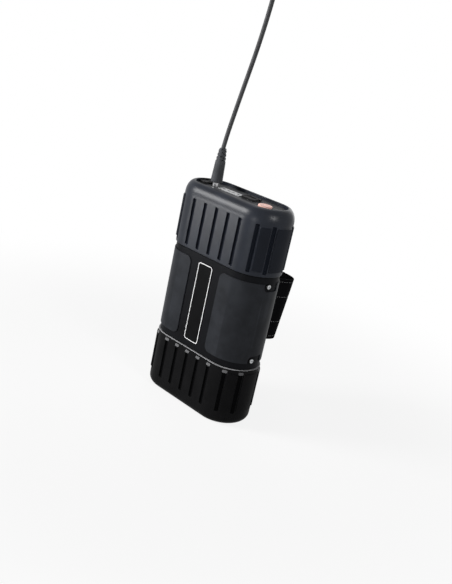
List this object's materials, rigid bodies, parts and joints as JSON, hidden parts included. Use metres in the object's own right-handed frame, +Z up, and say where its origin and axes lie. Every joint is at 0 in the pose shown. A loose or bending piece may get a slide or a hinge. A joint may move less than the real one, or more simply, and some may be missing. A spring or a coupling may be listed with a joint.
{
  "type": "portable battery power pack",
  "caption": "Upright portable battery power pack with ribbed end caps, a top panel with covered ports, a strap that holds a round leg, and a plugged-in DC power lead.",
  "frame": {"origin": "centre of the flat base that the pack stands on", "axes": "+Z up the pack, -Y out of the front with the label, +X to the right seen from the front"},
  "size_m": [0.1064, 0.1087, 0.3867],
  "materials": {
    "sleeve_plastic": "satin moulded",
    "panel_plastic": "satin moulded",
    "label_face": "gloss with a pale border",
    "cap_plastic": "satin, soft-touch",
    "seal_rubber": "matte",
    "bright_steel": "bright",
    "top_plastic": "satin",
    "gauge_silver": "silver film",
    "light_clear": "clear",
    "button_orange": "satin",
    "cover_rubber": "matte",
    "socket_plastic": "matte",
    "board_laminate": "solder mask",
    "cell_wrap": "shrink film",
    "holder_plastic": "matte",
    "wire_jacket": "satin",
    "foam": "open cell",
    "saddle_rubber": "matte",
    "webbing": "woven",
    "plug_plastic": "matte moulded",
    "cord_jacket": "matte"
  },
  "bodies": {
    "pack": {"body_sleeve": "sleeve_plastic", "left_side_panel": "panel_plastic", "right_side_panel": "panel_plastic", "label_plate": "label_face", "upper_cap": "cap_plastic", "lower_cap": "cap_plastic", "upper_gasket": "seal_rubber", "lower_gasket": "seal_rubber", "side_screws": "bright_steel", "control_panel": "top_plastic", "gauge_strip": "gauge_silver", "light_pipes": "light_clear", "output_socket": "socket_plastic", "charge_socket": "socket_plastic", "usb_socket": "bright_steel", "main_board": "board_laminate", "power_switch": "socket_plastic", "status_lights": "light_clear", "board_screws": "bright_steel", "battery_cells": "cell_wrap", "upper_cell_holder": "holder_plastic", "lower_cell_holder": "holder_plastic", "contact_strips": "bright_steel", "protection_board": "board_laminate", "battery_leads": "wire_jacket", "lower_cushion": "foam", "upper_cushion": "foam", "leg_saddle": "saddle_rubber", "strap_band": "webbing", "strap_tail": "webbing"},
    "button": {"power_button": "button_orange"},
    "usb_flap": {"usb_cover": "cover_rubber"},
    "charge_flap": {"charge_cover": "cover_rubber"},
    "power_lead": {"plug_barrel": "bright_steel", "plug_handle": "plug_plastic", "lead_cord": "cord_jacket", "far_plug_handle": "plug_plastic", "far_plug_barrel": "bright_steel"}
  },
  "joints": [
    {"name": "button_press", "type": "slide", "parent": "pack", "child": "button", "axis": [0, 0, -1], "range_m": [0, 0.0012], "stiffness_N_per_m": 1500},
    {"name": "usb_cover_hinge", "type": "hinge", "parent": "pack", "child": "usb_flap", "pos_m": [0.0082, 0.008, 0.18135], "axis": [-1, 0, 0], "range_deg": [0, 110]},
    {"name": "charge_cover_hinge", "type": "hinge", "parent": "pack", "child": "charge_flap", "pos_m": [-0.0395, 0.006, 0.18135], "axis": [-1, 0, 0], "range_deg": [0, 110]},
    {"name": "plug_pull", "type": "slide", "parent": "pack", "child": "power_lead", "axis": [0, 0, 1], "range_m": [0, 0.014]}
  ]
}
